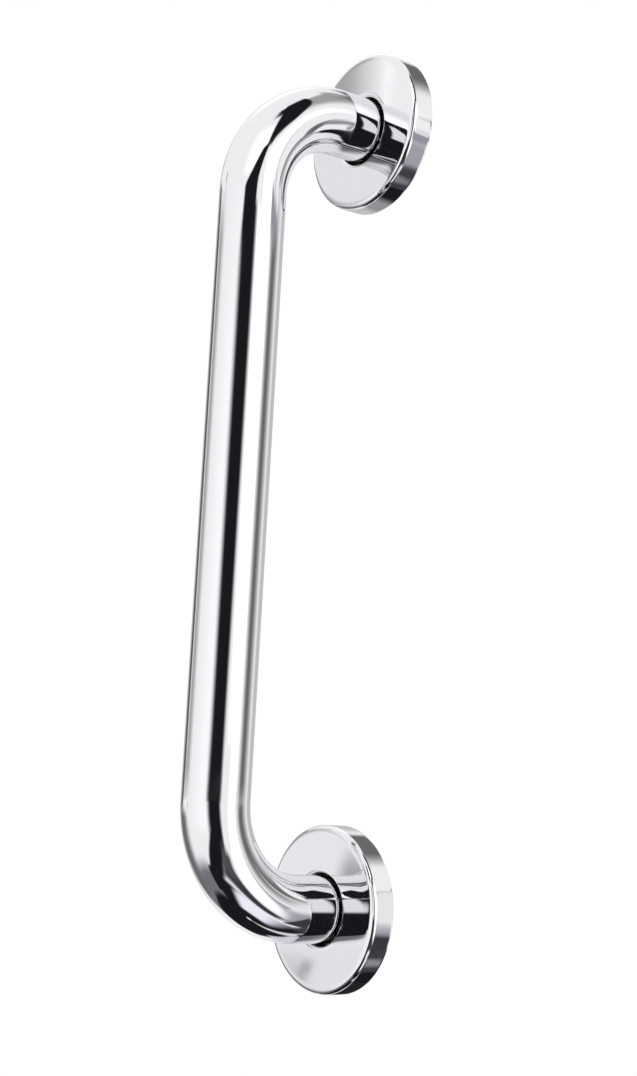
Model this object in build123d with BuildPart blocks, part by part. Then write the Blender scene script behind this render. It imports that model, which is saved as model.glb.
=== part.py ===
from build123d import *
import os

# A wall grab bar: a bent tube welded to two flanges, each hidden by a push-on cover.
# Millimetres, +Z up. The wall is the plane Y = 0 and the bar stands out from it towards -Y.
# The origin is on the wall, midway between the two flanges.

# Bar
fixing_centres = 300.0
tube_diameter = 25.0
tube_wall = 1.2
wall_clearance = 47.5  # the hand's room, from the wall to the tube
bend_radius = 38.0  # at the tube's centre line
tube_end_break = 0.3  # chamfer on both edges of each cut end

# Covers
cover_diameter = 62.0
cover_depth = 10.0  # from the wall to the flat front face
cover_sheet = 0.6
cover_edge_radius = 2.0
lip_depth = 2.2  # how far the edge of the hole is turned in
lip_radius = 0.8

# Flanges
flange_thickness = 3.0
flange_lead = 0.5  # chamfer that guides the cover on
weld_leg = 2.0
weld_crown = 0.3  # how far the bead bulges past a straight fillet
screw_count = 3
screw_hole_diameter = 5.0
screw_head_diameter = 9.0
screw_head_angle = 90.0
screw_land = 9.0  # from the tube's surface to a screw's centre

# Clearances
hole_gap = 0.9  # cover's hole around the tube
cover_fit = 0.2  # cover's skirt over the flange's edge
cover_set_back = 0.3  # cover's rim off the wall
weld_fit = 0.1  # tube in the flange's bore
tube_set_back = 0.5  # tube's end inside the flange's wall face

# Worked out from the sizes above
tube_radius = tube_diameter / 2
bar_distance = wall_clearance + tube_radius
leg_offset = fixing_centres / 2
cover_radius = cover_diameter / 2
cover_hole_radius = tube_radius + hole_gap
flange_radius = cover_radius - cover_sheet - cover_fit
flange_bore_radius = tube_radius + weld_fit
screw_circle_radius = tube_radius + screw_land

os.makedirs("parts", exist_ok=True)

# Bar: one length of tube with two bends, so that both ends turn to the wall
with BuildPart() as grab_tube:
    with BuildLine(Plane.YZ) as centre_line:
        FilletPolyline(
            (-tube_set_back, leg_offset),
            (-bar_distance, leg_offset),
            (-bar_distance, -leg_offset),
            (-tube_set_back, -leg_offset),
            radius=bend_radius,
        )
    with BuildSketch(Plane(origin=centre_line.line @ 0, z_dir=centre_line.line % 0)):
        Circle(tube_radius)
        Circle(tube_radius - tube_wall, mode=Mode.SUBTRACT)
    sweep()
    cut_ends = grab_tube.edges().group_by(Axis.Y)[-1]
    chamfer(cut_ends, length=tube_end_break)
grab_tube.part.label = "grab_tube"
export_step(grab_tube.part, "parts/grab_tube.step")

# The same flange and cover at each end, mirrored about the middle of the bar
for end, side in (("upper", 1), ("lower", -1)):
    leg_height = side * leg_offset
    leg_axis = Axis((0, 0, leg_height), (0, -1, 0))
    # Seen from the room, with X to the right and Z up
    facing_room = Plane(origin=(0, 0, leg_height), x_dir=(1, 0, 0), z_dir=(0, -1, 0))
    # Half section of a turned piece: distance from the wall, then radius
    half_section = Plane(origin=(0, 0, leg_height), x_dir=(0, -1, 0), z_dir=(-1, 0, 0))

    # Flange: a steel ring round the tube's end, with a weld bead and countersunk screw holes
    with BuildPart() as flange:
        with BuildSketch(facing_room):
            Circle(flange_radius)
            Circle(flange_bore_radius, mode=Mode.SUBTRACT)
        extrude(amount=flange_thickness)
        room_edges = flange.edges().group_by(Axis.Y)[0]
        chamfer(room_edges.sort_by(SortBy.RADIUS)[-1], length=flange_lead)
        with BuildSketch(half_section):
            with BuildLine():
                root = (flange_thickness, flange_bore_radius)
                toe_on_tube = (flange_thickness + weld_leg, flange_bore_radius)
                toe_on_plate = (flange_thickness, flange_bore_radius + weld_leg)
                Polyline(toe_on_plate, root, toe_on_tube)
                SagittaArc(toe_on_plate, toe_on_tube, weld_crown)
            make_face()
        revolve(axis=leg_axis)
        with Locations(facing_room.offset(flange_thickness)):
            with PolarLocations(screw_circle_radius, screw_count, start_angle=side * 90):
                CounterSinkHole(
                    screw_hole_diameter / 2,
                    screw_head_diameter / 2,
                    counter_sink_angle=screw_head_angle,
                )
    flange.part.label = f"{end}_flange"
    export_step(flange.part, f"parts/{end}_flange.step")

    # Cover: a pressed cup with a flat face, a rounded edge and a hole whose edge is turned in
    with BuildPart() as cover:
        with BuildSketch(half_section):
            with BuildLine():
                outer_skin = FilletPolyline(
                    (cover_set_back, cover_radius),
                    (cover_depth, cover_radius),
                    (cover_depth, cover_hole_radius),
                    (cover_depth - lip_depth, cover_hole_radius),
                    radius=(cover_edge_radius, lip_radius),
                )
                offset(outer_skin, amount=cover_sheet, side=Side.RIGHT)
            make_face()
        revolve(axis=leg_axis)
    cover.part.label = f"{end}_cover"
    export_step(cover.part, f"parts/{end}_cover.step")
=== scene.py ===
"""A wall grab bar: one bent chrome tube, welded to two screw flanges that push-on chrome covers hide."""

import logging
import math
from dataclasses import dataclass
from enum import Enum
from typing import Iterable, NamedTuple, Sequence

import bmesh
import bpy
from mathutils import Matrix, Vector


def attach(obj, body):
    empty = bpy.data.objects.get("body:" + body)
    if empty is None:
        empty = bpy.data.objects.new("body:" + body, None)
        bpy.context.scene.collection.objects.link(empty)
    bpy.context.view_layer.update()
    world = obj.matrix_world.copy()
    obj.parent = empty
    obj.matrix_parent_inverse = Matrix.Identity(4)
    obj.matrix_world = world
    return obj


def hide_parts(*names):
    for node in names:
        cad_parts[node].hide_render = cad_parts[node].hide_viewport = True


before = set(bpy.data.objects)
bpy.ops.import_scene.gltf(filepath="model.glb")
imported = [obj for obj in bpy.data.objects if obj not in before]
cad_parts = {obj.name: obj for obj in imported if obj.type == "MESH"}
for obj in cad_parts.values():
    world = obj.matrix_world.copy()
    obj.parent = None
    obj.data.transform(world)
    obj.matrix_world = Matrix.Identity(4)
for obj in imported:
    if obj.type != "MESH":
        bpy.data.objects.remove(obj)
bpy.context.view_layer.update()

LOG = logging.getLogger("grab_bar")

Colour = tuple[float, float, float]
Place = tuple[float, float]
Span = tuple[float, float]
Edges = list[bmesh.types.BMEdge]
Socket = bpy.types.NodeSocket
Inputs = dict[str | int, object]

# Meshes are modelled in millimetres and become metres when they become objects.
MM = 0.001
MERGE_DISTANCE = 0.0005
FACING_WALL = Matrix.Rotation(math.pi / 2, 4, "X")

# Sizes that several pieces share
LEG_HEIGHT = 150.0
TUBE_RADIUS = 12.5

# Tints of the studio's light
WHITE: Colour = (1.0, 1.0, 1.0)
PEARL: Colour = (0.98, 0.975, 1.01)
LAVENDER: Colour = (0.95, 0.94, 1.04)
INK: Colour = (0.96, 0.93, 1.14)


class End(Enum):
    """The two ends of the bar, by the side of the origin that they are on."""

    UPPER = 1
    LOWER = -1

    @property
    def word(self) -> str:
        """The end's name in lower case."""
        return self.name.lower()

    @property
    def height(self) -> float:
        """The place of the end's leg along Z."""
        return self.value * LEG_HEIGHT


class Slot(str, Enum):
    """The record's material slots."""

    TUBE = "tube_chrome"
    COVER = "cover_chrome"
    FLANGE = "flange_steel"


class Body(str, Enum):
    """The bodies that pieces ride on."""

    BAR = "bar"
    UPPER_COVER = "upper_cover"
    LOWER_COVER = "lower_cover"


class Graph:
    """Adds and joins the nodes of one material or world."""

    def __init__(self, tree: bpy.types.NodeTree) -> None:
        """Start from an empty node tree."""
        tree.nodes.clear()
        self.tree = tree

    def add(self, kind: str, inputs: Inputs | None = None, **settings: object) -> bpy.types.Node:
        """Add one node.

        Args:
            kind: Blender's name for the node type.
            inputs: What each named or numbered input takes, either a value or another node's output.
            settings: The node's own options.

        Returns:
            The new node.
        """
        node = self.tree.nodes.new(kind)
        for option, choice in settings.items():
            setattr(node, option, choice)
        for key, value in (inputs or {}).items():
            if isinstance(value, Socket):
                self.tree.links.new(value, node.inputs[key])
            else:
                node.inputs[key].default_value = value
        return node

    def place(self) -> Socket:
        """Read the place on the piece."""
        return self.add("ShaderNodeTexCoord").outputs["Object"]

    def noise(self, place: Socket, size: float, detail: float) -> Socket:
        """Add cloudy noise.

        Args:
            place: Where the noise is read.
            size: The size of its clouds in millimetres.
            detail: How many finer layers lie over them.

        Returns:
            The noise's level.
        """
        inputs = {"Vector": place, "Scale": 1 / (size * MM), "Detail": detail}
        return self.add("ShaderNodeTexNoise", inputs).outputs[0]

    def spread(
        self, value: Socket, source: Span, target: Span = (0.0, 1.0), curve: str = "LINEAR"
    ) -> Socket:
        """Stretch one range of values over another, held at both ends.

        Args:
            value: The value to stretch.
            source: The range that is stretched.
            target: The range that it becomes.
            curve: Blender's name for the way from one end to the other.

        Returns:
            The stretched value.
        """
        ends = {"From Min": source[0], "From Max": source[1], "To Min": target[0], "To Max": target[1]}
        return self.add("ShaderNodeMapRange", {"Value": value, **ends}, interpolation_type=curve).outputs[0]

    def relief(self, height: Socket, depth: float, ground: Socket | None = None) -> Socket:
        """Add fine relief.

        Args:
            height: The relief's level.
            depth: What a full level comes to in millimetres.
            ground: The normal of the surface under it, where that has relief of its own.

        Returns:
            The normal of the surface with the relief on it.
        """
        inputs: Inputs = {"Height": height, "Strength": 1.0, "Distance": depth * MM}
        if ground is not None:
            inputs["Normal"] = ground
        return self.add("ShaderNodeBump", inputs).outputs["Normal"]

    def tint(self, share: Socket, first: Colour, last: Colour, ends: Span = (0.0, 1.0)) -> Socket:
        """Run from one colour to another.

        Args:
            share: How far along the run the colour is taken.
            first: The colour that the run starts with.
            last: The colour that it ends with.
            ends: The shares at which the two colours are pure.

        Returns:
            The colour.
        """
        ramp = self.add("ShaderNodeValToRGB", {"Fac": share})
        for element, position, colour in zip(ramp.color_ramp.elements, ends, (first, last)):
            element.position = position
            element.color = (*colour, 1.0)
        return ramp.outputs["Color"]

    def mix(self, share: Socket, first: bpy.types.Node, last: bpy.types.Node) -> Socket:
        """Mix two shaders, the second one by the given share."""
        inputs = {0: share, 1: first.outputs[0], 2: last.outputs[0]}
        return self.add("ShaderNodeMixShader", inputs).outputs[0]

    def surface(self, shader: Socket) -> None:
        """Finish a material with a shader."""
        self.add("ShaderNodeOutputMaterial", {"Surface": shader})

    def metal(self, colour: Socket | Sequence[float], roughness: Socket | float, normal: Socket) -> None:
        """Finish a material with metal.

        Args:
            colour: The metal's colour, either plain or from another node.
            roughness: Its roughness, either plain or from another node.
            normal: The normal of its relief.
        """
        inputs = {"Base Color": colour, "Metallic": 1.0, "Roughness": roughness, "Normal": normal}
        self.surface(self.add("ShaderNodeBsdfPrincipled", inputs).outputs["BSDF"])


def new_material(name: str) -> tuple[bpy.types.Material, Graph]:
    """Make a material with an empty node tree.

    Args:
        name: The material's name.

    Returns:
        The material and the graph to fill.
    """
    material = bpy.data.materials.new(name)
    material.use_nodes = True
    return material, Graph(material.node_tree)


@dataclass(frozen=True)
class MirrorChrome:
    """Polished chrome plate: a clear mirror with faint buffing haze, over metal that is not quite true."""

    name: str
    colour: Colour = (0.84, 0.845, 0.865)
    roughness: Span = (0.025, 0.06)
    haze_size: float = 14.0
    haze_detail: float = 5.0
    haze_span: Span = (0.4, 0.7)
    wave_size: float = 30.0
    wave_detail: float = 0.0
    wave_height: float = 0.02
    grain_size: float = 0.6
    grain_detail: float = 2.0
    grain_height: float = 0.00015

    def material(self) -> bpy.types.Material:
        """Build the plate's nodes.

        Returns:
            The plate's material.
        """
        material, graph = new_material(self.name)
        place = graph.place()
        haze = graph.noise(place, self.haze_size, self.haze_detail)
        roughness = graph.spread(haze, self.haze_span, self.roughness)
        waves = graph.noise(place, self.wave_size, self.wave_detail)
        wavy = graph.relief(waves, self.wave_height)
        grain = graph.noise(place, self.grain_size, self.grain_detail)
        buffed = graph.relief(grain, self.grain_height, wavy)
        graph.metal((*self.colour, 1.0), roughness, buffed)
        return material


@dataclass(frozen=True)
class DrawnSteel:
    """The tube's unplated inside: dull drawn steel with faint blotches."""

    name: str
    pale: Colour = (0.44, 0.43, 0.42)
    dark: Colour = (0.27, 0.26, 0.25)
    roughness: float = 0.48
    blotch_size: float = 5.0
    blotch_detail: float = 6.0
    blotch_span: Span = (0.3, 0.7)
    pit_height: float = 0.01

    def material(self) -> bpy.types.Material:
        """Build the bare steel's nodes.

        Returns:
            The bare steel's material.
        """
        material, graph = new_material(self.name)
        blotch = graph.noise(graph.place(), self.blotch_size, self.blotch_detail)
        colour = graph.tint(blotch, self.dark, self.pale, self.blotch_span)
        graph.metal(colour, self.roughness, graph.relief(blotch, self.pit_height))
        return material


@dataclass(frozen=True)
class SatinSteel:
    """Rolled stainless plate with a fine straight grain, straw coloured where welding heated it."""

    name: str
    colour: Colour = (0.60, 0.60, 0.61)
    straw: Colour = (0.40, 0.36, 0.30)
    heated: Span = (14.0, 19.5)  # from the leg's axis to where the straw starts to fade and where it ends
    grain_stretch: float = 40.0
    grain_size: float = 6.0
    grain_detail: float = 6.0
    grain_span: Span = (0.3, 0.7)
    grain_height: float = 0.006
    roughness: Span = (0.27, 0.42)

    def material(self) -> bpy.types.Material:
        """Build the plate's nodes.

        Returns:
            The plate's material.
        """
        material, graph = new_material(self.name)
        place = graph.place()
        along = graph.add("ShaderNodeMapping", {"Vector": place, "Scale": (1.0, 1.0, self.grain_stretch)})
        grain = graph.noise(along.outputs[0], self.grain_size, self.grain_detail)
        roughness = graph.spread(grain, self.grain_span, self.roughness)
        colour = graph.tint(self.coolness(graph, place), self.straw, self.colour)
        graph.metal(colour, roughness, graph.relief(grain, self.grain_height))
        return material

    def coolness(self, graph: Graph, place: Socket) -> Socket:
        """Say how little of the weld's heat reached a place.

        Args:
            graph: The graph to add to.
            place: The place on the piece.

        Returns:
            The share, from 0 beside the weld to 1 on the plain plate.
        """
        axes = graph.add("ShaderNodeSeparateXYZ", {"Vector": place})
        height = graph.add("ShaderNodeMath", {0: axes.outputs["Z"]}, operation="ABSOLUTE")
        rise = graph.add("ShaderNodeMath", {0: height.outputs[0], 1: LEG_HEIGHT * MM}, operation="SUBTRACT")
        flat = graph.add("ShaderNodeCombineXYZ", {"X": axes.outputs["X"], "Z": rise.outputs[0]})
        reach = graph.add("ShaderNodeVectorMath", {0: flat.outputs[0]}, operation="LENGTH")
        inner, outer = self.heated
        return graph.spread(reach.outputs["Value"], (inner * MM, outer * MM), curve="SMOOTHSTEP")


def circle(bm: bmesh.types.BMesh, radius: float, centre: Sequence[float], segments: int) -> Edges:
    """Add a circle of edges that faces the wall.

    Args:
        bm: The mesh to add to.
        radius: The circle's radius.
        centre: The circle's centre.
        segments: How many edges it has.

    Returns:
        The circle's edges.
    """
    first = len(bm.edges)
    place = Matrix.Translation(centre) @ FACING_WALL
    bmesh.ops.create_circle(bm, segments=segments, radius=radius, matrix=place)
    return list(bm.edges)[first:]


def edges_of(geometry: Iterable[object]) -> Edges:
    """Pick the edges out of an operator's result."""
    return [item for item in geometry if isinstance(item, bmesh.types.BMEdge)]


def verts_of(geometry: Iterable[object]) -> list[bmesh.types.BMVert]:
    """Pick the vertices out of an operator's result."""
    return [item for item in geometry if isinstance(item, bmesh.types.BMVert)]


def extrude_by(bm: bmesh.types.BMesh, edges: Edges, step: Sequence[float]) -> Edges:
    """Pull a ring of edges along a straight run.

    Args:
        bm: The mesh that holds the ring.
        edges: The ring's edges.
        step: How far the ring goes.

    Returns:
        The ring's edges at the far end.
    """
    made = bmesh.ops.extrude_edge_only(bm, edges=edges)["geom"]
    bmesh.ops.translate(bm, verts=verts_of(made), vec=step)
    return edges_of(made)


class Corner(NamedTuple):
    """A corner of a section that is turned round a leg, with its rounding and the rounding's steps."""

    radius: float  # from the leg's axis
    y: float
    rounding: float
    steps: int = 1


def spun_ring(
    bm: bmesh.types.BMesh, corners: Sequence[Corner], height: float, around: int, cuts: int, shortest: float
) -> None:
    """Turn a closed section with rounded corners into a ring round a leg's axis.

    Args:
        bm: The mesh to add to, empty so far.
        corners: The section's corners in order.
        height: The axis's place along Z.
        around: How many steps the full turn has.
        cuts: How many cuts divide each straight side of the section.
        shortest: The length that a side has to pass to be cut.
    """
    points = [bm.verts.new((0.0, corner.y, height + corner.radius)) for corner in corners]
    bm.faces.new(points)
    for point, corner in zip(points, corners):
        bmesh.ops.bevel(
            bm, geom=[point], offset=corner.rounding, offset_type="OFFSET", affect="VERTICES",
            segments=corner.steps, profile=0.5, material=-1)
    bmesh.ops.delete(bm, geom=list(bm.faces), context="FACES_ONLY")
    sides = [edge for edge in bm.edges if edge.calc_length() > shortest]
    bmesh.ops.subdivide_edges(bm, edges=sides, cuts=cuts)
    bmesh.ops.spin(
        bm, geom=list(bm.edges), cent=(0.0, 0.0, height), axis=(0.0, 1.0, 0.0), dvec=(0.0, 0.0, 0.0),
        angle=math.tau, steps=around, use_merge=True, use_duplicate=False)


def make_object(
    bm: bmesh.types.BMesh, name: str, materials: Sequence[bpy.types.Material], sharp_angle: float = 40.0
) -> bpy.types.Object:
    """Turn a mesh in millimetres into an object in metres, at the origin.

    Args:
        bm: The mesh, which is used up.
        name: The object's name.
        materials: The materials that its faces name by number.
        sharp_angle: Edges that turn by this many degrees or more are shaded sharp.

    Returns:
        The new object.
    """
    bmesh.ops.remove_doubles(bm, verts=list(bm.verts), dist=MERGE_DISTANCE)
    bmesh.ops.recalc_face_normals(bm, faces=list(bm.faces))
    bmesh.ops.scale(bm, vec=(MM, MM, MM), verts=list(bm.verts))
    for face in bm.faces:
        face.smooth = True
    for edge in bm.edges:
        edge.smooth = edge.calc_face_angle(0.0) < math.radians(sharp_angle)
    mesh = bpy.data.meshes.new(name)
    bm.to_mesh(mesh)
    bm.free()
    for material in materials:
        mesh.materials.append(material)
    piece = bpy.data.objects.new(name, mesh)
    bpy.context.scene.collection.objects.link(piece)
    return piece


@dataclass
class BentTube:
    """The bar itself: one tube, straight in the middle and bent to the wall at both ends."""

    plated: bpy.types.Material
    bare: bpy.types.Material
    wall: float = 1.2
    stand_off: float = 60.0
    bend_radius: float = 38.0
    end_set_back: float = 0.5
    end_break: float = 0.3
    end_break_steps: int = 2
    end_angle: float = 60.0  # only the cut ends' edges turn by more
    around: int = 144
    bend_steps: int = 60
    guard: float = 1.0  # a short length beside each bend, which keeps the shading of the straight runs even

    def sweep(self, bm: bmesh.types.BMesh, radius: float) -> tuple[Edges, Edges]:
        """Draw one skin of the tube from the upper end to the lower one.

        Args:
            bm: The mesh to add to.
            radius: The skin's radius.

        Returns:
            The edges of the skin's first and last ring.
        """
        bend_height = LEG_HEIGHT - self.bend_radius
        bend_place = self.bend_radius - self.stand_off
        leg_run = -bend_place - self.end_set_back
        first = circle(bm, radius, (0.0, -self.end_set_back, LEG_HEIGHT), self.around)
        ring = extrude_by(bm, first, (0.0, self.guard - leg_run, 0.0))
        ring = extrude_by(bm, ring, (0.0, -self.guard, 0.0))
        ring = self.bend(bm, ring, (0.0, bend_place, bend_height))
        ring = extrude_by(bm, ring, (0.0, 0.0, -self.guard))
        ring = extrude_by(bm, ring, (0.0, 0.0, 2 * (self.guard - bend_height)))
        ring = extrude_by(bm, ring, (0.0, 0.0, -self.guard))
        ring = self.bend(bm, ring, (0.0, bend_place, -bend_height))
        ring = extrude_by(bm, ring, (0.0, self.guard, 0.0))
        last = extrude_by(bm, ring, (0.0, leg_run - self.guard, 0.0))
        return first, last

    def bend(self, bm: bmesh.types.BMesh, ring: Edges, centre: Sequence[float]) -> Edges:
        """Turn a ring of edges through a quarter bend.

        Args:
            bm: The mesh that holds the ring.
            ring: The ring's edges.
            centre: The bend's centre.

        Returns:
            The ring's edges at the far end.
        """
        made = bmesh.ops.spin(
            bm, geom=ring, cent=centre, axis=(1.0, 0.0, 0.0), dvec=(0.0, 0.0, 0.0), angle=math.pi / 2,
            steps=self.bend_steps, use_duplicate=False)
        return edges_of(made["geom_last"])

    def cut_end(self, bm: bmesh.types.BMesh, ring: Edges, end: End) -> None:
        """Draw the tube's cut end, from the outer skin's last ring in to the inner skin.

        Args:
            bm: The mesh that holds the ring.
            ring: The ring's edges.
            end: The end of the bar that the ring is on.
        """
        made = bmesh.ops.extrude_edge_only(bm, edges=ring)["geom"]
        share = 1 - self.wall / TUBE_RADIUS
        leg = Matrix.Translation((0.0, 0.0, -end.height))
        bmesh.ops.scale(bm, vec=(share, 1.0, share), space=leg, verts=verts_of(made))

    def build(self) -> bpy.types.Object:
        """Make the hollow tube with its plated outside and bare inside.

        Returns:
            The tube.
        """
        bm = bmesh.new()
        rings = self.sweep(bm, TUBE_RADIUS)
        plated_faces = len(bm.faces)
        for ring, end in zip(rings, End):
            self.cut_end(bm, ring, end)
        self.sweep(bm, TUBE_RADIUS - self.wall)
        for face in list(bm.faces)[plated_faces:]:
            face.material_index = 1
        bmesh.ops.remove_doubles(bm, verts=list(bm.verts), dist=MERGE_DISTANCE)
        bmesh.ops.recalc_face_normals(bm, faces=list(bm.faces))
        rims = [edge for edge in bm.edges if edge.calc_face_angle(0.0) > math.radians(self.end_angle)]
        bmesh.ops.bevel(
            bm, geom=rims, offset=self.end_break, offset_type="OFFSET", affect="EDGES",
            segments=self.end_break_steps, profile=0.5, material=-1)
        piece = make_object(bm, "bent_tube", (self.plated, self.bare))
        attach(piece, Body.BAR.value)
        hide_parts("grab_tube")
        return piece


class Wall(NamedTuple):
    """A round wall through a plate, as rings from the back of the plate to its front."""

    centre: Place  # along X and Z
    steps: int
    rings: Sequence[tuple[float, float]]  # each ring's radius and its place along Y


@dataclass
class ScrewFlange:
    """A round plate with three countersunk holes, and the weld that joins it to the tube."""

    end: End
    steel: bpy.types.Material
    diameter: float = 60.4
    thickness: float = 3.0
    lead: float = 0.5  # chamfer that guides the cover on
    bore_gap: float = 0.1
    screw_land: float = 9.0  # from the tube's surface to a screw's centre
    screw_count: int = 3
    hole_radius: float = 2.5
    head_radius: float = 4.5
    rim_steps: int = 160
    hole_steps: int = 48
    edge_break: float = 0.12
    edge_steps: int = 2
    edge_angle: float = 30.0
    weld_leg: float = 2.0
    weld_sink: float = 0.05  # how deep the bead's back lies in the plate
    weld_taper: float = 0.1  # how far the bead's shoulders fall back from its toes
    weld_shoulder: float = 0.5  # from the plate or the tube to a shoulder
    weld_rounding: float = 0.3
    weld_steps: int = 3
    weld_root_break: float = 0.02
    weld_toe_break: float = 0.05
    weld_cuts: int = 2
    weld_shortest_side: float = 0.4
    weld_angle: float = 60.0
    weld_crown: float = 0.3
    ripple_count: int = 64
    ripple_steps: int = 8
    ripple_height: float = 0.16
    ripple_middle: float = 0.5  # the level of a ripple that leaves the crown as it is
    ripple_lag: float = 0.9  # by what share of a ripple the bead's middle is set off from its toes

    def hole_centres(self) -> list[Place]:
        """Space the screw holes evenly, the first one on the bar's far end.

        Returns:
            The holes' places along X and Z.
        """
        ring_radius = TUBE_RADIUS + self.screw_land
        first = math.pi / 2 * self.end.value
        turns = [first + math.tau * index / self.screw_count for index in range(self.screw_count)]
        height = self.end.height
        return [(ring_radius * math.cos(turn), height + ring_radius * math.sin(turn)) for turn in turns]

    def walls(self) -> list[Wall]:
        """List the plate's rim, its bore and its screw holes.

        Returns:
            The walls.
        """
        middle = (0.0, self.end.height)
        front = -self.thickness
        rim = self.diameter / 2
        bore = TUBE_RADIUS + self.bore_gap
        sink = front + self.head_radius - self.hole_radius
        rim_rings = [(rim, 0.0), (rim, front + self.lead), (rim - self.lead, front)]
        bore_rings = [(bore, 0.0), (bore, front)]
        hole_rings = [(self.hole_radius, 0.0), (self.hole_radius, sink), (self.head_radius, front)]
        holes = [Wall(centre, self.hole_steps, hole_rings) for centre in self.hole_centres()]
        return [Wall(middle, self.rim_steps, rim_rings), Wall(middle, self.rim_steps, bore_rings), *holes]

    def plate(self) -> bpy.types.Object:
        """Make the plate from circles that are bridged and filled.

        Returns:
            The plate.
        """
        bm = bmesh.new()
        back: Edges = []
        front: Edges = []
        for wall in self.walls():
            x, z = wall.centre
            rings = [circle(bm, radius, (x, y, z), wall.steps) for radius, y in wall.rings]
            for near, far in zip(rings, rings[1:]):
                bmesh.ops.bridge_loops(bm, edges=near + far)
            back += rings[0]
            front += rings[-1]
        bmesh.ops.triangle_fill(bm, use_beauty=True, edges=back, normal=(0.0, 1.0, 0.0))
        bmesh.ops.triangle_fill(bm, use_beauty=True, edges=front, normal=(0.0, -1.0, 0.0))
        piece = make_object(bm, f"{self.end.word}_flange_plate", (self.steel,), sharp_angle=self.edge_angle)
        soften = piece.modifiers.new("edge_break", "BEVEL")
        soften.width = self.edge_break * MM
        soften.segments = self.edge_steps
        soften.limit_method = "ANGLE"
        soften.angle_limit = math.radians(self.edge_angle)
        soften.harden_normals = True
        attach(piece, Body.BAR.value)
        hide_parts(f"{self.end.word}_flange")
        return piece

    def ripple(self, vert: bmesh.types.BMVert, root: float) -> None:
        """Swell the weld bead at one of its vertices, most in the middle of its front.

        Args:
            vert: The vertex to move.
            root: The place along Y of the corner between the plate and the tube.
        """
        across = vert.co.z - self.end.height
        reach = math.hypot(vert.co.x, across)
        lean = math.atan2(root - vert.co.y, reach - TUBE_RADIUS)
        crown = max(0.0, math.sin(2 * lean))
        turn = math.atan2(across, vert.co.x) / math.tau * self.ripple_count
        phase = (turn + self.ripple_lag * crown) % 1.0
        swell = crown * (self.weld_crown + self.ripple_height * (math.sqrt(phase) - self.ripple_middle))
        outward = Vector((vert.co.x / reach, 0.0, across / reach)) * math.cos(lean)
        vert.co += (outward + Vector((0.0, -math.sin(lean), 0.0))) * swell

    def weld(self) -> bpy.types.Object:
        """Make the weld bead, with the ripples that a hand leaves as it feeds the rod round the tube.

        Returns:
            The bead.
        """
        bm = bmesh.new()
        root = self.weld_sink - self.thickness
        crest = root - self.weld_leg
        toe = TUBE_RADIUS + self.weld_leg
        shoulder = TUBE_RADIUS + self.weld_shoulder
        corners = (
            Corner(TUBE_RADIUS, root, self.weld_root_break),
            Corner(toe, root, self.weld_toe_break),
            Corner(toe - self.weld_taper, root - self.weld_shoulder, self.weld_rounding, self.weld_steps),
            Corner(shoulder, crest + self.weld_taper, self.weld_rounding, self.weld_steps),
            Corner(TUBE_RADIUS, crest, self.weld_toe_break))
        around = self.ripple_count * self.ripple_steps
        spun_ring(bm, corners, self.end.height, around, self.weld_cuts, self.weld_shortest_side)
        for vert in bm.verts:
            self.ripple(vert, root)
        piece = make_object(bm, f"{self.end.word}_weld_bead", (self.steel,), sharp_angle=self.weld_angle)
        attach(piece, Body.BAR.value)
        return piece


@dataclass
class PushOnCover:
    """A pressed cover with a rounded edge, and a lip turned in round the hole that the tube passes."""

    end: End
    plated: bpy.types.Material
    diameter: float = 62.0
    depth: float = 10.0
    sheet: float = 0.6
    edge_radius: float = 2.0
    hole_gap: float = 0.9
    lip_depth: float = 2.2
    lip_radius: float = 0.8
    set_back: float = 0.3  # from the wall to the cover's rim
    cut_break: float = 0.2
    around: int = 240
    edge_steps: int = 14
    inner_edge_steps: int = 6
    cut_steps: int = 3
    side_cuts: int = 9
    shortest_side: float = 1.0

    def build(self) -> bpy.types.Object:
        """Turn the cover's section round the leg.

        Returns:
            The cover.
        """
        bm = bmesh.new()
        outside = self.diameter / 2
        inside = outside - self.sheet
        hole = TUBE_RADIUS + self.hole_gap
        behind_lip = hole + self.sheet
        back_of_face = self.sheet - self.depth
        lip_end = self.lip_depth - self.depth
        corners = (
            Corner(outside, -self.set_back, self.cut_break, self.cut_steps),
            Corner(outside, -self.depth, self.edge_radius, self.edge_steps),
            Corner(hole, -self.depth, self.lip_radius, self.edge_steps),
            Corner(hole, lip_end, self.cut_break, self.cut_steps),
            Corner(behind_lip, lip_end, self.cut_break, self.cut_steps),
            Corner(behind_lip, back_of_face, self.lip_radius - self.sheet, self.cut_steps),
            Corner(inside, back_of_face, self.edge_radius - self.sheet, self.inner_edge_steps),
            Corner(inside, -self.set_back, self.cut_break, self.cut_steps))
        spun_ring(bm, corners, self.end.height, self.around, self.side_cuts, self.shortest_side)
        piece = make_object(bm, f"{self.end.word}_push_cover", (self.plated,))
        body = Body.UPPER_COVER if self.end is End.UPPER else Body.LOWER_COVER
        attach(piece, body.value)
        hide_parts(f"{self.end.word}_cover")
        return piece


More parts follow.
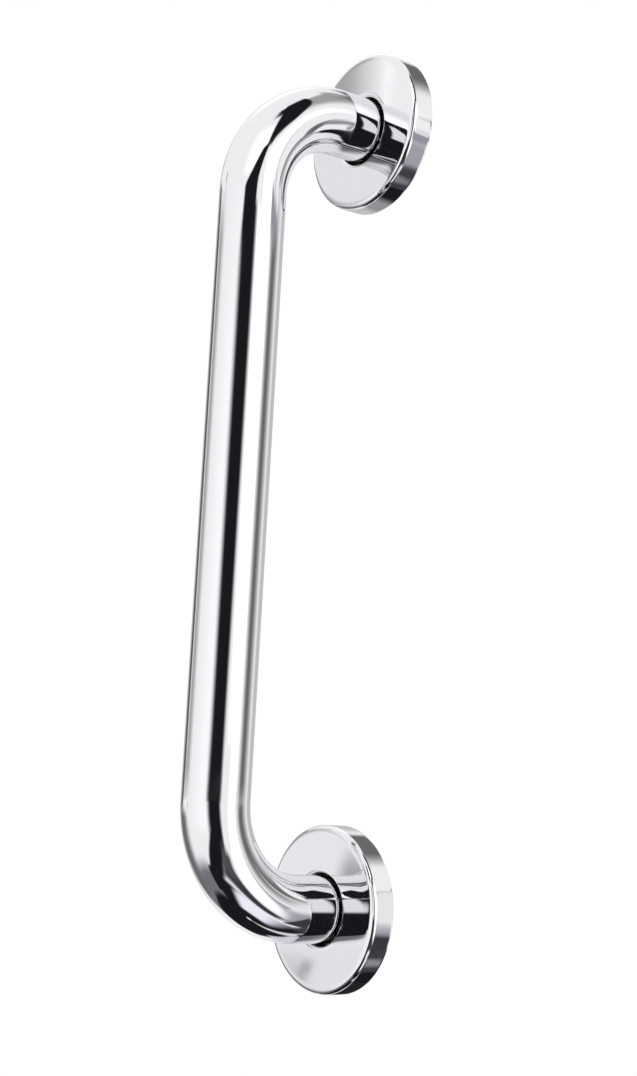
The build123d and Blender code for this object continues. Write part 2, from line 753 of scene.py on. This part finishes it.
@dataclass(frozen=True)
class StudioCard:
    """A soft-edged card that stands off round the bar, and that only the metal's reflections show.

    The corners are the azimuth and elevation of the lower left, lower right, upper right and upper left
    one. The fades are the shares of the card's width or height over which its left, right, low and high
    side vanish. A card with a reach of its own stands upright, that far from the middle line of the room,
    and its corners give heights in millimetres instead of elevations.
    """

    name: str
    level: float
    corners: tuple[Place, Place, Place, Place]
    fades: tuple[float, float, float, float]
    tint: Colour = WHITE
    reach: float | None = None
    cells: int = 24
    least_fade: float = 1e-6  # stands in for a fade of nothing

    def build(self, distance: float) -> bpy.types.Object:
        """Lay a grid on the dome between the card's corners.

        Args:
            distance: How far the card stands from the bar. A nearer card hides one behind it.

        Returns:
            The card.
        """
        bm = bmesh.new()
        bmesh.ops.create_grid(bm, x_segments=self.cells, y_segments=self.cells, size=1.0)
        solid = bm.verts.layers.float.new("solid")
        for vert in bm.verts:
            across = (vert.co.x + 1) / 2
            up = (vert.co.y + 1) / 2
            vert[solid] = self.solidity(across, up)
            vert.co = self.place(across, up, distance)
        piece = make_object(bm, self.name, (self.material(),))
        piece.visible_camera = False
        piece.visible_diffuse = False
        piece.visible_transmission = False
        piece.visible_volume_scatter = False
        piece.visible_shadow = False
        return piece

    def place(self, across: float, up: float, distance: float) -> Vector:
        """Give a place on the card.

        Args:
            across: The place's share of the way from the left side to the right one.
            up: The place's share of the way from the low side to the high one.
            distance: How far off a card with no reach of its own stands.

        Returns:
            The place in the room.
        """
        low_left, low_right, high_right, high_left = (Vector(corner) for corner in self.corners)
        turn, rise = low_left.lerp(low_right, across).lerp(high_left.lerp(high_right, across), up)
        ahead = Vector((math.sin(math.radians(turn)), -math.cos(math.radians(turn)), 0.0))
        if self.reach:
            return ahead * self.reach + Vector((0.0, 0.0, rise))
        tilt = math.radians(rise)
        return (ahead * math.cos(tilt) + Vector((0.0, 0.0, math.sin(tilt)))) * distance

    def solidity(self, across: float, up: float) -> float:
        """Say how solid the card is at one place.

        Args:
            across: The place's share of the way from the left side to the right one.
            up: The place's share of the way from the low side to the high one.

        Returns:
            The solidity, from 0 at the card's border to 1 inside its soft sides.
        """
        share = 1.0
        for depth, fade in zip((across, 1 - across, up, 1 - up), self.fades):
            inside = min(1.0, depth / max(fade, self.least_fade))
            share *= inside * inside * (3 - 2 * inside)
        return share

    def material(self) -> bpy.types.Material:
        """Build a plain glow that fades out to nothing at the card's border.

        Returns:
            The card's material.
        """
        material, graph = new_material(self.name)
        solid = graph.add("ShaderNodeAttribute", attribute_name="solid")
        clear = graph.add("ShaderNodeBsdfTransparent")
        glow = graph.add("ShaderNodeEmission", {"Color": (*self.tint, 1.0), "Strength": self.level})
        graph.surface(graph.mix(solid.outputs["Fac"], clear, glow))
        return material


Cards = tuple[StudioCard, ...]

# Upright cards near the bar, which its legs, its bends and the covers' rims mirror
NEAR_CARDS: Cards = (
    StudioCard("low_bounce", 1.0, ((41, -165), (62, -165), (62, -85), (41, -85)),
               fades=(0.25, 0.1, 0.2, 0.1), reach=110.0),
    StudioCard("high_bounce", 1.0, ((34, 122), (55, 122), (56, 187), (52.5, 187)),
               fades=(0.1, 0.12, 0.1, 0.15), reach=110.0),
    StudioCard("rim_bounce", 0.92, ((90, -176), (128, -176), (128, -119), (113, -119)),
               fades=(0.1, 0.05, 0.42, 0.1), reach=72.0),
    StudioCard("rim_flag", 0.05, ((100, -262), (130, -262), (130, -180), (113, -180)),
               fades=(0.15, 0.1, 0.1, 0.15), tint=INK, reach=91.0),
    StudioCard("rim_shade", 0.36, ((82, 114), (122, 118), (122, 138), (82, 150)),
               fades=(0.2, 0.05, 0.55, 0.1), tint=LAVENDER, reach=91.0),
    StudioCard("bend_bounce", 1.0, ((98, 152), (132, 138), (132, 152), (98, 180)),
               fades=(0.15, 0.1, 0.15, 0.15), reach=90.0),
    StudioCard("rim_foot", 0.02, ((196, -332), (233, -248), (233, -200), (196, -285)),
               fades=(0.1, 0.15, 0.08, 0.15), tint=INK, reach=120.0),
    StudioCard("low_block", 0.0125, ((23.4, -44), (48, -44), (48, 97), (23.4, 97)),
               fades=(0.08, 0.08, 0.1, 0.1), tint=INK, reach=209.0),
)

# Dark flags for the stripe along the tube, from overhead down to the lower bend
STRIPE_CARDS: Cards = (
    StudioCard("overhead_flag", 0.0125, ((74, 37), (112, 36), (130, 77), (77, 77)),
               fades=(0.12, 0.05, 0.08, 0.1), tint=INK),
    StudioCard("overhead_arm", 0.0125, ((20, 17), (60, 17), (98, 41), (68, 41)),
               fades=(0.12, 0.12, 0.05, 0.08), tint=INK),
    StudioCard("overhead_tip", 0.02, ((52, 63), (95, 60), (95, 74), (52, 73)),
               fades=(0.5, 0.0, 0.25, 0.2), tint=INK),
    StudioCard("camera_flag", 0.0125, ((17, -4), (75.5, -4), (78, 30), (12, 17)),
               fades=(0.29, 0.2, 0.06, 0.06), tint=INK),
    StudioCard("low_haze", 0.09, ((52, -46), (90, -44), (88, -17), (62, -17)),
               fades=(0.35, 0.35, 0.3, 0.35), tint=LAVENDER),
    StudioCard("low_flag", 0.0125, ((25, -26), (85, -26), (73, 0), (20, 0)),
               fades=(0.28, 0.2, 0.0, 0.1), tint=INK),
    StudioCard("low_leg", 0.0125, ((-4, -50), (54, -52), (82, -20), (33, -20)),
               fades=(0.15, 0.25, 0.1, 0.0), tint=INK),
    StudioCard("low_foot", 0.0125, ((-9, -64), (42, -66), (56, -40), (-8, -45)),
               fades=(0.08, 0.2, 0.0, 0.12), tint=INK),
    StudioCard("low_arm", 0.05, ((35, -52), (129, -48), (129, -39), (62, -22)),
               fades=(0.2, 0.15, 0.3, 0.25), tint=INK),
)

# The right of the room, low and level
RIGHT_CARDS: Cards = (
    StudioCard("low_panel", 1.05, ((42, -77), (152, -77), (142, -37), (52, -54)),
               fades=(0.25, 0.4, 0.2, 0.2), tint=LAVENDER),
    StudioCard("rim_strip", 0.32, ((150, -50), (170, -54), (172, -50), (150, -44)),
               fades=(0.2, 0.5, 0.4, 0.4), tint=LAVENDER),
    StudioCard("rear_low_flag", 0.0125, ((172, -62), (216, -52), (222, -26), (178, -45)),
               fades=(0.15, 0.3, 0.1, 0.1), tint=INK),
    StudioCard("right_dark", 0.06, ((134, -60), (200, -58), (185, -34), (137, -30)),
               fades=(0.15, 0.15, 0.2, 0.2), tint=INK),
    StudioCard("right_dusk", 0.42, ((119, -50), (152, -50), (136, -18), (121, 6)),
               fades=(0.25, 0.2, 0.15, 0.2), tint=LAVENDER),
    StudioCard("right_gap", 0.16, ((122, -4), (182, -4), (182, 21), (122, 21)),
               fades=(0.34, 0.60, 0.08, 0.12)),
    StudioCard("right_panel", 1.5, ((94, -35), (120, -35), (134, 36), (64, 36)),
               fades=(0.12, 0.15, 0.15, 0.15)),
)

# Bright panels in front, and the grey ceiling
PANEL_CARDS: Cards = (
    StudioCard("high_panel", 1.4, ((4, 21), (80, 28), (94, 58), (14, 68)),
               fades=(0.45, 0.05, 0.2, 0.45)),
    StudioCard("left_panel", 1.12, ((-34, -32), (40, -26), (38, 24), (-38, 24)),
               fades=(0.6, 0.0, 0.25, 0.25)),
    StudioCard("rear_ceiling", 0.16, ((146, 40), (224, 32), (220, 60), (138, 65)),
               fades=(0.45, 0.12, 0.2, 0.2)),
    StudioCard("grey_ceiling", 0.40, ((112, 38), (190, 46), (202, 73), (118, 73)),
               fades=(0.05, 0.3, 0.45, 0.15)),
)

# Small cards that the covers' flat faces mirror
FACE_CARDS: Cards = (
    StudioCard("face_streak", 1.12, ((-50.6, 22), (-50.0, 22), (-49.7, 26), (-50.3, 26)),
               fades=(0.3, 0.3, 0.2, 0.2)),
    StudioCard("face_grey", 0.45, ((-56.5, 21.6), (-50.15, 22), (-50.15, 27), (-56.5, 27)),
               fades=(0.0, 0.27, 0.12, 0.0)),
    StudioCard("face_pale", 0.9, ((-57, 18.5), (-46, 18.5), (-46, 22.3), (-57, 22.3)),
               fades=(0.2, 0.2, 0.1, 0.2), tint=PEARL),
    StudioCard("face_spot", 0.45, ((-52.1, -8.7), (-51.5, -8.9), (-51.0, -7.7), (-51.6, -7.5)),
               fades=(0.4, 0.4, 0.4, 0.4)),
    StudioCard("face_cloud", 0.72, ((-53.4, -9.4), (-51.2, -9.6), (-50.9, -7.4), (-52.6, -7.0)),
               fades=(0.3, 0.4, 0.3, 0.4)),
    StudioCard("face_shade", 0.42, ((-51.3, -6.8), (-48.5, -6.8), (-48.5, -3.2), (-50.4, -3.2)),
               fades=(0.3, 0.0, 0.0, 0.4)),
    StudioCard("face_top", 0.95, ((-54.5, -6.6), (-46.5, -6.6), (-46.5, -1.5), (-54.5, -1.5)),
               fades=(0.1, 0.1, 0.2, 0.2), tint=PEARL),
    StudioCard("face_low", 0.9, ((-57, -10), (-46, -10), (-46, -6.4), (-57, -6.4)),
               fades=(0.2, 0.2, 0.1, 0.3), tint=PEARL),
)

# The left of the room
LEFT_CARDS: Cards = (
    StudioCard("left_glint", 0.85, ((-75, -2), (-68, -2), (-68, 19), (-75, 19)),
               fades=(0.4, 0.4, 0.1, 0.1)),
    StudioCard("left_line", 0.10, ((-96, -6), (-74, -6), (-74, 22), (-96, 22)),
               fades=(0.3, 0.3, 0.1, 0.1)),
    StudioCard("left_shade", 0.44, ((-102, -3), (-38, -3), (-38, 19.5), (-102, 19.5)),
               fades=(0.1, 0.37, 0.08, 0.08)),
    StudioCard("left_dusk", 0.17, ((-102, -46), (-36, -42), (-42, -9), (-102, 3)),
               fades=(0.2, 0.5, 0.1, 0.15)),
    StudioCard("low_shade", 0.2, ((-92, -50), (4, -74), (4, -38), (-92, -26)),
               fades=(0.15, 0.05, 0.2, 0.45), tint=LAVENDER),
)

# Behind the bar and under it
REAR_CARDS: Cards = (
    StudioCard("rear_dusk", 0.33, ((-156, -56), (-128, -30), (-126, -10), (-156, -42)),
               fades=(0.2, 0.2, 0.15, 0.15)),
    StudioCard("rear_light", 0.75, ((-174, -64), (-128, -62), (-122, -28), (-160, -28)),
               fades=(0.15, 0.15, 0.1, 0.1), tint=LAVENDER),
    StudioCard("dark_floor", 0.0125, ((-180, -89), (180, -89), (180, -49), (-180, -49)),
               fades=(0.0, 0.0, 0.0, 0.12), tint=INK),
    StudioCard("dark_corner", 0.0125, ((-150, -75), (-50, -75), (-78, -40), (-122, -43)),
               fades=(0.15, 0.15, 0.0, 0.15), tint=INK),
    StudioCard("left_sky", 1.25, ((-140, 44), (-70, 44), (-76, 68), (-136, 68)),
               fades=(0.3, 0.4, 0.3, 0.3)),
    StudioCard("rear_shade", 0.58, ((-184, -28), (-88, -28), (-88, 36), (-184, 36)),
               fades=(0.1, 0.1, 0.25, 0.25)),
)


@dataclass(frozen=True)
class SoftLamp:
    """A large square lamp, in metres and watts, that lights the floor and gives the bar its soft shadow."""

    name: str
    place: tuple[float, float, float]
    width: float
    power: float

    def build(self) -> bpy.types.Object:
        """Hang the lamp and aim it at the bar.

        Returns:
            The lamp.
        """
        lamp = bpy.data.lights.new(self.name, "AREA")
        lamp.shape = "SQUARE"
        lamp.size = self.width
        lamp.energy = self.power
        holder = bpy.data.objects.new(self.name, lamp)
        bpy.context.scene.collection.objects.link(holder)
        place = Vector(self.place)
        holder.location = place
        holder.rotation_euler = (-place).to_track_quat("-Z", "Y").to_euler()
        holder.visible_glossy = False
        return holder


@dataclass(frozen=True)
class Studio:
    """A white room with a pale floor, soft lamps, and the cards that give the chrome its bands.

    The cards with no reach of their own stand one behind the other, in the order of the list.
    """

    floor_height: float = -330.0
    floor_radius: float = 700.0
    floor_clear: float = 430.0  # where the floor starts to fade
    floor_steps: int = 96
    floor_colour: Colour = (0.86, 0.86, 0.87)
    floor_roughness: float = 0.7
    white: float = 1.0  # the room's level as the camera and the chrome see it
    fill: float = 0.55  # the room's level as a light
    lamps: tuple[SoftLamp, ...] = (
        SoftLamp("key_lamp", place=(0.9, -0.9, 1.3), width=0.9, power=14.0),
        SoftLamp("fill_lamp", place=(-1.2, -0.5, 1.0), width=1.0, power=7.0))
    cards: Cards = (
        NEAR_CARDS + STRIPE_CARDS + RIGHT_CARDS + PANEL_CARDS + FACE_CARDS + LEFT_CARDS + REAR_CARDS)
    card_distance: float = 3000.0
    card_gap: float = 20.0

    def world(self) -> None:
        """Fill the room with white for the camera and the chrome, and with a plain level for the rest."""
        world = bpy.data.worlds.new("white_room")
        world.use_nodes = True
        graph = Graph(world.node_tree)
        path = graph.add("ShaderNodeLightPath").outputs
        seen = graph.add(
            "ShaderNodeMath", {0: path["Is Camera Ray"], 1: path["Is Glossy Ray"]}, operation="MAXIMUM")
        shown = graph.add(
            "ShaderNodeMath", {0: seen.outputs[0], 1: path["Is Transmission Ray"]}, operation="MAXIMUM")
        plain = graph.add("ShaderNodeBackground", {"Color": (*WHITE, 1.0), "Strength": self.fill})
        white = graph.add("ShaderNodeBackground", {"Color": (*WHITE, 1.0), "Strength": self.white})
        graph.add("ShaderNodeOutputWorld", {"Surface": graph.mix(shown.outputs[0], plain, white)})
        bpy.context.scene.world = world

    def floor_finish(self) -> bpy.types.Material:
        """Build the floor's nodes: pale and matt, and clear towards its edge.

        Returns:
            The floor's material.
        """
        material, graph = new_material("pale_floor")
        place = graph.place()
        level = graph.add("ShaderNodeVectorMath", {0: place, 1: (1.0, 1.0, 0.0)}, operation="MULTIPLY")
        reach = graph.add("ShaderNodeVectorMath", {0: level.outputs[0]}, operation="LENGTH")
        ends = (self.floor_clear * MM, self.floor_radius * MM)
        fade = graph.spread(reach.outputs["Value"], ends, curve="SMOOTHERSTEP")
        matt = graph.add("ShaderNodeBsdfPrincipled", {
            "Base Color": (*self.floor_colour, 1.0), "Roughness": self.floor_roughness})
        graph.surface(graph.mix(fade, matt, graph.add("ShaderNodeBsdfTransparent")))
        return material

    def floor(self) -> bpy.types.Object:
        """Lay a pale round floor that fades into the white of the room.

        Returns:
            The floor.
        """
        bm = bmesh.new()
        bmesh.ops.create_circle(
            bm, cap_ends=True, segments=self.floor_steps, radius=self.floor_radius,
            matrix=Matrix.Translation((0, 0, self.floor_height)))
        piece = make_object(bm, "studio_floor", (self.floor_finish(),))
        piece.visible_glossy = False
        return piece

    def build(self) -> None:
        """Set up the room, the floor, the lamps and the cards."""
        self.world()
        self.floor()
        for lamp in self.lamps:
            lamp.build()
        for order, card in enumerate(self.cards):
            card.build(self.card_distance + order * self.card_gap)


@dataclass(frozen=True)
class PictureCamera:
    """The camera: below the bar's middle, to the right of it, and looking up a little.

    Its sizes are in degrees and millimetres.
    """

    azimuth: float = 51.85
    elevation: float = -7.55
    roll: float = 3.16
    distance: float = 706.6
    target: tuple[float, float, float] = (0.0, -23.44, 0.0)
    right_of_target: float = 2.09
    above_target: float = -12.55
    lens: float = 62.77
    sensor: float = 36.0
    nearest: float = 10.0  # what is closer to the camera isn't shown

    def build(self) -> bpy.types.Object:
        """Place the camera and make it the scene's own.

        Returns:
            The camera.
        """
        turn, tilt, roll = (math.radians(angle) for angle in (self.azimuth, self.elevation, self.roll))
        back = Vector((math.sin(turn) * math.cos(tilt), -math.cos(turn) * math.cos(tilt), math.sin(tilt)))
        level_right = Vector((0.0, 0.0, 1.0)).cross(back).normalized()
        level_up = back.cross(level_right)
        right = level_right * math.cos(roll) + level_up * math.sin(roll)
        up = level_up * math.cos(roll) - level_right * math.sin(roll)
        stand = Vector(self.target) + back * self.distance
        eye = stand + right * self.right_of_target + up * self.above_target
        lens = bpy.data.cameras.new("picture_camera")
        lens.lens = self.lens
        lens.sensor_width = self.sensor
        lens.sensor_fit = "AUTO"
        lens.clip_start = self.nearest * MM
        lens.dof.use_dof = False
        camera = bpy.data.objects.new("picture_camera", lens)
        bpy.context.scene.collection.objects.link(camera)
        turned = Matrix((right, up, back)).transposed().to_4x4()
        camera.matrix_world = Matrix.Translation(eye * MM) @ turned
        bpy.context.scene.camera = camera
        return camera


def main() -> None:
    """Build the bar's pieces and the studio round them."""
    logging.basicConfig(level=logging.INFO, format="%(name)s: %(message)s")
    tube_chrome = MirrorChrome("tube_mirror_chrome").material()
    cover_chrome = MirrorChrome("cover_mirror_chrome").material()
    drawn = DrawnSteel("drawn_bore_steel").material()
    satin = SatinSteel("satin_flange_steel").material()
    pieces = [BentTube(tube_chrome, drawn).build()]
    for end in End:
        flange = ScrewFlange(end, satin)
        pieces += [flange.plate(), flange.weld(), PushOnCover(end, cover_chrome).build()]
    Studio().build()
    PictureCamera().build()
    bpy.context.scene.view_settings.view_transform = "Standard"


if __name__ == "__main__":
    main()
